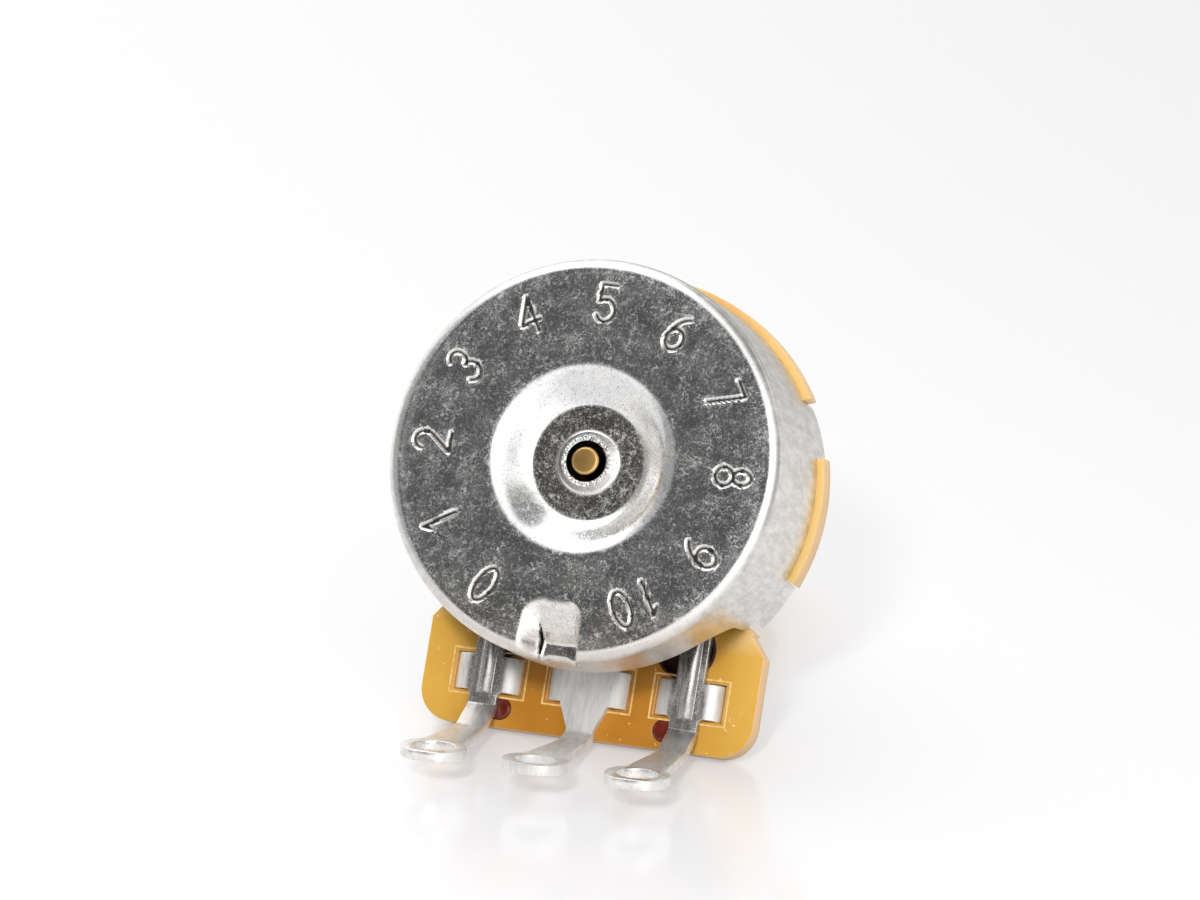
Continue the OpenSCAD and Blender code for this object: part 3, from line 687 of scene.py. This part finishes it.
def softened(node, width, segments=2, sharper_than=30):
    """A bmesh of a CAD node's solid, in millimetres, with its sharp edges bevelled."""
    bm = bmesh.new()
    bm.from_mesh(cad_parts[node].data)
    bmesh.ops.scale(bm, vec=(1 / mm, 1 / mm, 1 / mm), verts=bm.verts)
    bmesh.ops.remove_doubles(bm, verts=bm.verts, dist=0.002)
    bmesh.ops.dissolve_limit(bm, angle_limit=radians(1), verts=bm.verts, edges=bm.edges)
    least = radians(sharper_than)
    sharp = [e for e in bm.edges if len(e.link_faces) == 2 and e.calc_face_angle() > least]
    bevelled(bm, sharp, width, segments)
    return bm


# %% [markdown]
# Phenolic board is paper and resin pressed in layers. Its faces are a smooth ochre with faint clouds
# and a few pale dots. Painted shade makes them deeper in colour towards the middle, where less light
# comes through from the sides, and the sides are painted lighter. A sawn or punched edge is paler and
# shows the layers as thin lines along it, and it is painted paler still as a glow of light through the
# board.

# %% Phenolic
def phenolic():
    """Ochre resin that lets a little light through."""
    finish, tree, shader = new_finish(
        "phenolic", (0.6, 0.33, 0.05), 0.0, 0.4,
        Subsurface_Weight=0.3, Subsurface_Radius=(0.0009, 0.0006, 0.0003), Subsurface_Scale=1.0)
    clouds = grain(tree, 420.0, detail=4.0)
    shaded_middle = blend(tree, clouds, (0.41, 0.16, 0.011), (0.49, 0.21, 0.018))
    lit_sides = blend(tree, clouds, (0.58, 0.315, 0.042), (0.66, 0.39, 0.07))
    pale_dot, pale_arc = (0.9, 0.74, 0.46), (0.7, 0.5, 0.24)
    edge_red_glow, edge_pale_glow = (1.0, 0.54, 0.22), (1.0, 0.72, 0.4)
    across = calc(tree, "ABSOLUTE", coordinate(tree, "X"))
    # Painted shade: the faces are darker and redder towards the middle, and lighter towards the sides.
    face = blend(tree, over_span(tree, across, (3.5, 10.0), 0, 1, smooth=True), shaded_middle, lit_sides)
    dots = between(tree, grain(tree, 2400.0, detail=2.0, roughness=0.6), 0.69, 0.73, 0, 0.6)
    near_round = over_span(tree, distance(tree, (1, 1, 1)), (12.0, 12.7), 0, 0.6)
    above = over_span(tree, coordinate(tree, "Z"), (-9.5, -8.5), 0, 1)
    arcs = blend(tree, calc(tree, "MULTIPLY", near_round, above), blend(tree, dots, face, pale_dot), pale_arc)
    layers = grain(tree, 3800.0, detail=2.0, stretch=(14, 1, 14))
    facing = calc(tree, "ABSOLUTE", coordinate(tree, "Y", "Normal"))
    on_edge = between(tree, facing, 0.35, 0.8, 1.0, 0.0)
    # The edge colour is the real paler cut edge, painted lighter still as a glow of light through the board.
    colour = blend(tree, on_edge, arcs, blend(tree, layers, edge_red_glow, edge_pale_glow))
    wire(tree, colour, shader.inputs["Base Color"])
    wire(tree, bump(tree, grain(tree, 2500.0, detail=4.0), 0.006), shader.inputs["Normal"])
    return finish


finish_piece("board_softened", softened("element_board", 0.1, 3), phenolic(), "housing",
             ["element_board"])

# %% [markdown]
# The finishes of the smaller pieces differ only in their numbers: two tones, how metallic they are, a
# range of roughness, the scale of the grain, and its relief in millimetres.

# %% Grained finish
def grained(name, dark, light, metallic, rough, scale, relief, stretch=(1, 1, 1)):
    """A finish with a soft grain in colour, gloss and relief."""
    finish, tree, shader = new_finish(name, light, metallic, rough[0])
    pattern = grain(tree, scale, detail=4.0, stretch=stretch)
    wire(tree, blend(tree, between(tree, pattern, 0.3, 0.7, 0, 1), dark, light), shader.inputs["Base Color"])
    wire(tree, between(tree, pattern, 0.3, 0.7, *rough), shader.inputs["Roughness"])
    wire(tree, bump(tree, pattern, relief), shader.inputs["Normal"])
    return finish


# %% [markdown]
# The punch that cut the slots left a low round bead about each one. A bead is a flat frame made by an
# inset, given a height, with its upper edges bevelled until its section is nearly half round.

# %% Bead round each slot
bead_w, bead_h, bead_gap, bead_round, bead_sunk = 0.13, 0.05, 0.14, 0.05, 0.01
slot_top, slot_bottom, slot_lap, slot_reach = -11.3, -13.6, 0.05, 1.1
stand_up = Matrix.Rotation(radians(90), 3, "X")


def slot_bead(bm, x_low, x_high):
    """Adds the bead of the slot between two places across the board."""
    reach = 2 * (bead_w + bead_gap)
    wide, high = x_high - x_low + reach, slot_top - slot_bottom + reach
    middle = Vector(((x_low + x_high) / 2, -board_rear + bead_sunk, (slot_top + slot_bottom) / 2))
    made = bmesh.ops.create_grid(bm, x_segments=1, y_segments=1, size=0.5)["verts"]
    bmesh.ops.scale(bm, vec=(wide, high, 1), verts=made)
    bmesh.ops.rotate(bm, cent=(0, 0, 0), matrix=stand_up, verts=made)
    bmesh.ops.translate(bm, vec=middle, verts=made)
    whole = made[0].link_faces[0]
    border = bmesh.ops.inset_region(bm, faces=[whole], thickness=bead_w, depth=0,
                                    use_boundary=True, use_even_offset=True)["faces"]
    bmesh.ops.delete(bm, geom=[whole], context="FACES")
    grown = bmesh.ops.extrude_face_region(bm, geom=border)["geom"]
    bmesh.ops.translate(bm, vec=(0, -bead_h, 0), verts=only(grown, BMVert))
    lifted = set(only(grown, BMFace))
    brim = [e for e in only(grown, BMEdge) if sum(f in lifted for f in e.link_faces) == 1]
    bevelled(bm, brim, bead_round, 2)


beads = bmesh.new()
for lug_x, lug_w in ((-lug_pitch, side_lug_w), (0, middle_lug_w), (lug_pitch, side_lug_w)):
    for side in (-1, 1):
        ends = [lug_x + side * (lug_w / 2 - slot_lap), lug_x + side * (lug_w / 2 + slot_reach)]
        slot_bead(beads, min(ends), max(ends))
pale_resin = grained("pale_resin", (0.64, 0.37, 0.1), (0.84, 0.58, 0.26), 0.0, (0.25, 0.4), 3000.0, 0.006)
finish_piece("slot_beads", beads, pale_resin, "housing")

# %% [markdown]
# The lugs are stamped from tinned brass strip. On the outer ones the strip between the wings is glossy
# and painted dark, a painted reflection of the dark studio that it faces, and its spangle flecks are
# painted near white as glints. The wings, the necks and the whole middle lug are light and brushed,
# and the eyelets are a little glossier than the necks.

# %% Tinned brass of the lugs
def tinned_brass(name, strip_rough, glint_share):
    """Tin that is painted dark and flecked with painted glints on the strip, and plainer towards the eyelet.
    """
    finish, tree, shader = new_finish(name, (0.83, 0.81, 0.76), 0.84, 0.3)
    strip_start, wing_start, eyelet_start = (-15.4, -14.2), (1.0, 1.25), (-9.6, -10.2)
    painted_strip_dark, painted_strip_light = (0.36, 0.35, 0.34), (0.5, 0.49, 0.48)
    end_dark, end_light, glint_white = (0.78, 0.77, 0.75), (0.9, 0.89, 0.87), (0.99, 0.97, 0.93)
    end_rough, eyelet_rough, wing_rough, fleck_rough = 0.44, -0.2, 0.25, 0.25

    on_strip = over_span(tree, coordinate(tree, "Z"), strip_start, 0, 1, smooth=True)
    off_lug = calc(tree, "SUBTRACT", calc(tree, "ABSOLUTE", coordinate(tree, "X")), lug_pitch * mm)
    on_wing = over_span(tree, calc(tree, "ABSOLUTE", off_lug), wing_start, 0, wing_rough)
    streaks = grain(tree, 3600.0, detail=4.0, stretch=(1, 3, 5), turn=(0.3, 0.5, 0), distortion=0.6)
    flecks = between(tree, grain(tree, 9500.0, detail=3.0, roughness=0.7, distortion=1.5), 0.55, 0.66, 0, 1)
    spangle = calc(tree, "MAXIMUM", flecks, hairs(tree, 4200.0, 0.035, 3500.0))
    glints = calc(tree, "MULTIPLY", spangle, between(tree, on_strip, 0, 1, 0.25, glint_share))

    streaked = between(tree, streaks, 0.36, 0.6, 0, 1)
    # Painted reflection: the outer lugs' strip gets a dark colour for the dark studio it mirrors.
    painted_dark_share = calc(tree, "MULTIPLY", on_strip, between(tree, on_wing, 0, wing_rough, 1, 0))
    plain = blend(tree, painted_dark_share, blend(tree, streaked, end_dark, end_light),
                  blend(tree, streaked, painted_strip_dark, painted_strip_light))
    # Painted glints: the spangle flecks and scratches are coloured near white.
    wire(tree, blend(tree, glints, plain, glint_white), shader.inputs["Base Color"])
    on_eyelet = over_span(tree, coordinate(tree, "Y"), eyelet_start, 0, eyelet_rough)
    end_part = calc(tree, "ADD", on_eyelet, end_rough)
    rough = calc(tree, "ADD", calc(tree, "MULTIPLY", on_strip, strip_rough),
                 calc(tree, "MULTIPLY", between(tree, on_strip, 0, 1, 1, 0), end_part))
    uneven = calc(tree, "ADD", between(tree, streaks, 0.3, 0.7, -0.04, 0.06), on_wing)
    rough = calc(tree, "ADD", calc(tree, "MULTIPLY", glints, fleck_rough), calc(tree, "ADD", rough, uneven))
    wire(tree, rough, shader.inputs["Roughness"])
    wire(tree, bump(tree, streaks, 0.004), shader.inputs["Normal"])
    return finish


spangled = tinned_brass("tinned_brass_spangled", 0.2, 0.6)
brushed = tinned_brass("tinned_brass_brushed", 0.42, 0.2)
for node, finish in (("terminal_left", spangled), ("terminal_middle", brushed), ("terminal_right", spangled)):
    finish_piece(node + "_lug", softened(node, 0.06), finish, "housing", [node])

# %% [markdown]
# The shaft is turned brass. The tool's marks run round its axis, on its end faces and along its
# length, and they draw highlights out across them. All of the rear pin but its tip gets painted shade,
# a near-black colour for the dark of the can, and the middle of its end face is a little darker too.

# %% Turned brass
def turned_brass():
    """Brass with the fine concentric marks of a lathe tool."""
    finish, tree, shader = new_finish("turned_brass", (0.78, 0.55, 0.24), 1.0, 0.26, Anisotropic=0.7)
    dark_brass, light_brass = (0.66, 0.4, 0.13), (0.84, 0.58, 0.25)
    end_brown, gap_painted_shade = (0.4, 0.2, 0.05), (0.03, 0.012, 0.004)
    tip_height, can_start, face_end = (shaft_low.y + 0.25, shaft_low.y + 0.5), (-4, -3), (0.6, 0.72)
    place = add(tree, "TexCoord")
    marks = []
    for kind, way in (("RINGS", "rings_direction"), ("BANDS", "bands_direction")):
        wave = add(tree, "TexWave", {"Scale": 5200.0, "Distortion": 0.6, "Detail": 1.0, "Detail Scale": 2.0},
                   wave_type=kind, **{way: "Y"})
        wire(tree, place.outputs["Object"], wave.inputs["Vector"])
        marks.append(wave.outputs["Fac"])
    along = coordinate(tree, "Y")
    # Painted shade: the pin inside the can is coloured near black.
    gap_shade_share = calc(tree, "MULTIPLY", over_span(tree, along, tip_height, 0, 1),
                  over_span(tree, along, can_start, 0.93, 0))
    end_dark = over_span(tree, distance(tree, (1, 0, 1)), face_end, 0.6, 0)
    tarnish = grain(tree, 900.0, detail=4.0)
    metal = blend(tree, end_dark, blend(tree, tarnish, dark_brass, light_brass), end_brown)
    around = add(tree, "Tangent", direction_type="RADIAL", axis="Y")
    wire(tree, around.outputs[0], shader.inputs["Tangent"])
    wire(tree, blend(tree, gap_shade_share, metal, gap_painted_shade), shader.inputs["Base Color"])
    wire(tree, between(tree, tarnish, 0.3, 0.7, 0.28, 0.38), shader.inputs["Roughness"])
    wire(tree, bump(tree, calc(tree, "ADD", *marks), 0.004), shader.inputs["Normal"])
    return finish


brass = turned_brass()

# %% [markdown]
# The other pieces get plain finishes with a little grain: dark red pegs, a zinc plated plate, moulded
# resin, and printed films on the board. The inner ones keep their CAD meshes.

# %% Finishes of the other pieces
peg_red = grained("peg_resin", (0.085, 0.008, 0.005), (0.16, 0.02, 0.01), 0.0, (0.12, 0.2), 2500.0, 0.006)
root_shade = grained("root_shade_paint", (0.02, 0.005, 0.003), (0.06, 0.012, 0.008), 0.0, (0.3, 0.45), 2500.0, 0.01)
zinc = grained("zinc_plate", (0.6, 0.61, 0.61), (0.76, 0.77, 0.76), 1.0, (0.28, 0.42), 3000.0, 0.008)
nickel = grained("nickel_brass", (0.68, 0.65, 0.55), (0.8, 0.77, 0.68), 1.0, (0.18, 0.3), 5000.0, 0.004,
                 stretch=(8, 1, 8))
ring_steel = grained("ring_steel", (0.4, 0.41, 0.43), (0.55, 0.56, 0.58), 1.0, (0.3, 0.45), 4000.0, 0.005)
rotor_resin = grained("rotor_resin", (0.03, 0.02, 0.015), (0.07, 0.05, 0.035), 0.0, (0.4, 0.55), 3000.0, 0.01)
bronze = grained("spring_bronze", (0.6, 0.36, 0.16), (0.75, 0.48, 0.24), 1.0, (0.25, 0.4), 4000.0, 0.005)
carbon = grained("carbon_film", (0.012, 0.012, 0.012), (0.03, 0.03, 0.03), 0.0, (0.5, 0.65), 6000.0, 0.006)
silver = grained("silver_film", (0.55, 0.54, 0.51), (0.72, 0.71, 0.68), 1.0, (0.4, 0.55), 6000.0, 0.006)

for node, finish in {"resistive_track": carbon, "collector_track": silver, "end_film_left": silver,
                     "end_film_right": silver, "retaining_ring": ring_steel, "rotor": rotor_resin,
                     "contact_spring": bronze}.items():
    dress(node, finish)
for side in ("left", "right"):
    peg = "insulating_peg_" + side
    finish_piece(peg + "_domed", softened(peg, 0.24, 4), peg_red, "housing", [peg])
finish_piece("front_plate_softened", softened("front_plate", 0.1, 2, 12), zinc, "housing",
             ["front_plate"])
finish_piece("shaft_turned", softened("shaft", 0.06, 2, 25), brass, "turning_shaft", ["shaft"])

# %% [markdown]
# The holes at the roots of the outer lugs are closed with near-black cups: painted shade, standing in
# for the dark inside the holes. A cup is a circle extruded to a wall, its floor is kept, and Solidify
# thickens it.

# %% Painted shade in the root holes
root_r, root_x, root_z = 1.84, 5.6, -9.5
cup_floor, cup_low, cup_wall = 0.3, 0.28, 0.14
# Each cup is painted shade: a near-black piece where the hole is only dark.
for name, side in (("left", -1), ("right", 1)):
    shade_cup = bmesh.new()
    made = bmesh.ops.create_circle(shade_cup, cap_ends=True, radius=root_r, segments=48)["verts"]
    bmesh.ops.rotate(shade_cup, cent=(0, 0, 0), matrix=stand_up, verts=made)
    bmesh.ops.translate(shade_cup, vec=(side * root_x, -board_front - cup_floor, root_z), verts=made)
    wall = bmesh.ops.extrude_edge_only(shade_cup, edges=shade_cup.edges[:])["geom"]
    bmesh.ops.translate(shade_cup, vec=(0, -(board_rear - board_front - cup_low), 0), verts=only(wall, BMVert))
    bmesh.ops.recalc_face_normals(shade_cup, faces=shade_cup.faces)
    bmesh.ops.solidify(shade_cup, geom=shade_cup.faces[:], thickness=cup_wall)
    finish_piece("root_shade_cup_" + name, shade_cup, root_shade, "housing")

# %% [markdown]
# The bushing has a fine thread, 32 turns to the inch. A lathe section with many rows is spun, and each
# vertex moves in by a triangle wave of its place along the thread plus its angle, which makes a helix.
# The wave is clipped to a narrow crest and root, and it fades out at both ends of the thread.

# %% Threaded bushing
bush_low, bush_high = (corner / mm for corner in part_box("bushing"))
thread_r, thread_deep, thread_pitch = 4.76, 0.36, 25.4 / 32
bore_r, thread_end = 3.21, bush_high.y
bush_columns, rows_a_turn = 96, 8
neck_r, flange_r, flange_front = 5.0, bush_high.x, -0.8
rows = int((thread_end - 0.6) / (thread_pitch / rows_a_turn))
outline = [(bore_r, bush_low.y), (flange_r - 0.15, bush_low.y), (flange_r, bush_low.y + 0.15)]
outline += [(flange_r, flange_front - 0.1), (flange_r - 0.1, flange_front)]
outline += [(neck_r, flange_front), (neck_r, 0)]
outline += [(thread_r, y) for y in steps(0.02, thread_end - 0.55, rows)]
outline += [(thread_r - 0.55, thread_end), (bore_r + 0.2, thread_end), (bore_r, thread_end - 0.2)]
bush = bmesh.new()
bmesh.ops.spin(bush, geom=draw_loop(bush, outline), cent=(0, 0, 0), axis=(0, 1, 0), angle=2 * pi,
               steps=bush_columns, use_merge=True)
for vert in bush.verts:
    r = radius_of(vert.co)
    if abs(r - thread_r) < 0.001:
        turns = vert.co.y / thread_pitch + atan2(vert.co.z, vert.co.x) / (2 * pi)
        wave = abs(2 * (turns % 1) - 1)
        run_out = smooth(0, 0.8, vert.co.y) * smooth(0, 0.5, thread_end - 0.5 - vert.co.y)
        cut = thread_deep * clamp(1.15 * wave - 0.08) * run_out
        vert.co.x *= 1 - cut / r
        vert.co.z *= 1 - cut / r
finish_piece("bushing_threaded", bush, nickel, "housing", ["bushing"], sharp_angle=50)

# %% [markdown]
# The part lies on a pale table with its shaft tip and the board's lower edge touching it. In the
# part's own frame the table is a tilted plane through those two edges. It is white and a little
# glossy, the camera and the reflections see it lifted towards white, and it is clear from below, so
# that a view from underneath still shows the part.

# %% Table
def table_white():
    white = (0.395, 0.39, 0.392)
    finish, tree, shader = new_finish("table_white", white, 0.0, 0.2, Specular_IOR_Level=0.75)
    path, face = add(tree, "LightPath"), add(tree, "NewGeometry")
    lift = add(tree, "Emission", {"Color": (1, 0.995, 1, 1), "Strength": 0.4})
    clear = add(tree, "BsdfTransparent")
    lit, seen, shown = add(tree, "AddShader"), add(tree, "MixShader"), add(tree, "MixShader")
    watched = calc(tree, "MAXIMUM", path.outputs["Is Camera Ray"], path.outputs["Is Glossy Ray"])
    for start, end in ((shader.outputs[0], lit.inputs[0]), (lift.outputs[0], lit.inputs[1]),
                       (watched, seen.inputs[0]), (shader.outputs[0], seen.inputs[1]),
                       (lit.outputs[0], seen.inputs[2]), (face.outputs["Backfacing"], shown.inputs[0]),
                       (seen.outputs[0], shown.inputs[1]), (clear.outputs[0], shown.inputs[2]),
                       (shown.outputs[0], tree.nodes["Material Output"].inputs["Surface"])):
        wire(tree, start, end)
    return finish


table_size = 1500
touch_board = Vector((0, board_high.y, board_low.z))
touch_shaft = Vector((0, shaft_high.y, -shaft_r))
slope = atan2(touch_shaft.z - touch_board.z, touch_shaft.y - touch_board.y)
plane = bmesh.new()
bmesh.ops.create_grid(plane, x_segments=1, y_segments=1, size=table_size)
bmesh.ops.rotate(plane, cent=(0, 0, 0), matrix=Matrix.Rotation(slope, 3, "X"), verts=plane.verts)
bmesh.ops.translate(plane, vec=touch_board, verts=plane.verts)
table = new_object("table", plane, table_white())
print(f"table slope {degrees(slope):.1f} degrees")

# %% [markdown]
# Bright metal shows the room more than its own colour. The studio is a white dome on which soft-edged
# cones are dimmer or brighter, each drawn over the ones before it. The flat rear face mirrors the
# darkest one, and the dish, the dent and the rounded corner mirror the two bright ones. The camera
# itself sees plain white. The dome is fixed in the world, so other views see the same studio.

# %% Studio dome
dome_level = 1.2
cones = [  # direction, inner and outer half angle in degrees, and level
    ((0.1, 1.0, 0.1), 36, 56, 0.57),  # beyond the part
    ((0.05, 0.85, 0.5), 10, 28, 0.25),  # beyond and above it
    ((-0.30, -0.95, 0.12), 18, 34, 0.088),  # left of the camera, mirrored by the rear face
    ((-0.88, -0.46, 0.1), 20, 32, 0.38),  # left
    ((0.42, -0.1, 0.9), 22, 36, 0.3),  # overhead, to the right
    ((1.0, 0.02, 0.1), 18, 30, 0.3),  # right
    ((0.55, -0.83, 0.12), 16, 24, 2.4),  # bright, right of the camera
    ((-0.35, -0.3, 0.9), 22, 32, 2.2),  # bright, overhead to the left
]
studio = bpy.data.worlds.new("studio")
scene.world = studio
studio.use_nodes = True
sky = studio.node_tree
sky.nodes.clear()


def cone(level, direction, inner, outer, to_level):
    """Blends the dome's level towards another one inside a soft-edged cone."""
    place = add(sky, "TexCoord")
    facing = add(sky, "VectorMath", {1: Vector(direction).normalized()}, operation="DOT_PRODUCT")
    wire(sky, place.outputs["Generated"], facing.inputs[0])
    share = between(sky, facing.outputs["Value"], cos(radians(outer)),
                    cos(radians(inner)), 0, 1, smooth=True)
    mix = add(sky, "Mix", {3: to_level}, data_type="FLOAT")
    wire(sky, share, mix.inputs[0])
    feed(sky, level, mix.inputs[2])
    return mix.outputs[0]


level = dome_level
for direction, inner, outer, to_level in cones:
    level = cone(level, direction, inner, outer, to_level)
path = add(sky, "LightPath")
shown = add(sky, "Mix", {3: 1.0}, data_type="FLOAT")
wire(sky, path.outputs["Is Camera Ray"], shown.inputs[0])
wire(sky, level, shown.inputs[2])
glow = add(sky, "Background", {"Color": (1, 1, 1, 1)})
wire(sky, shown.outputs[0], glow.inputs["Strength"])
wire(sky, glow.outputs[0], add(sky, "OutputWorld").inputs["Surface"])

# %% [markdown]
# One small soft lamp above the camera gives the shadows under the lugs their direction. Nothing
# mirrors it.

# %% Lamp
lamp_direction, lamp_distance = Vector((0.1, -0.99, 0.12)), 0.5
square = bpy.data.lights.new("front", "AREA")
square.shape, square.size, square.energy = "SQUARE", 0.06, 1.4
lamp = bpy.data.objects.new("front", square)
scene.collection.objects.link(lamp)
lamp.location = lamp_direction.normalized() * lamp_distance
lamp.rotation_euler = (-lamp.location).to_track_quat("-Z", "Y").to_euler()
lamp.visible_glossy = False

# %% [markdown]
# The photograph is taken with a long lens from a little right of and below the shaft's axis, rolled a
# few degrees. The camera stands at that angle and looks at a point near the centre of the rear face.

# %% Camera
camera_azimuth, camera_elevation, camera_roll = 17.70, -6.88, 9.2
camera_aim = Vector((0.98, -11.47, 0.66))
camera_distance = 409.96
lens, sensor = 210, 36

azimuth, elevation = radians(camera_azimuth), radians(camera_elevation)
back = Vector((sin(azimuth) * cos(elevation), -cos(azimuth) * cos(elevation),
               sin(elevation)))
camera = bpy.data.objects.new("camera", bpy.data.cameras.new("camera"))
scene.collection.objects.link(camera)
camera.data.lens = lens
camera.data.sensor_width = sensor
camera.data.clip_start = 0.05
camera.location = (camera_aim + back * camera_distance) * mm
level_turn = (-back).to_track_quat("-Z", "Y")
camera.rotation_mode = "QUATERNION"
camera.rotation_quaternion = level_turn @ Matrix.Rotation(radians(camera_roll), 3, "Z").to_quaternion()
scene.camera = camera
scene.view_settings.view_transform = "Standard"
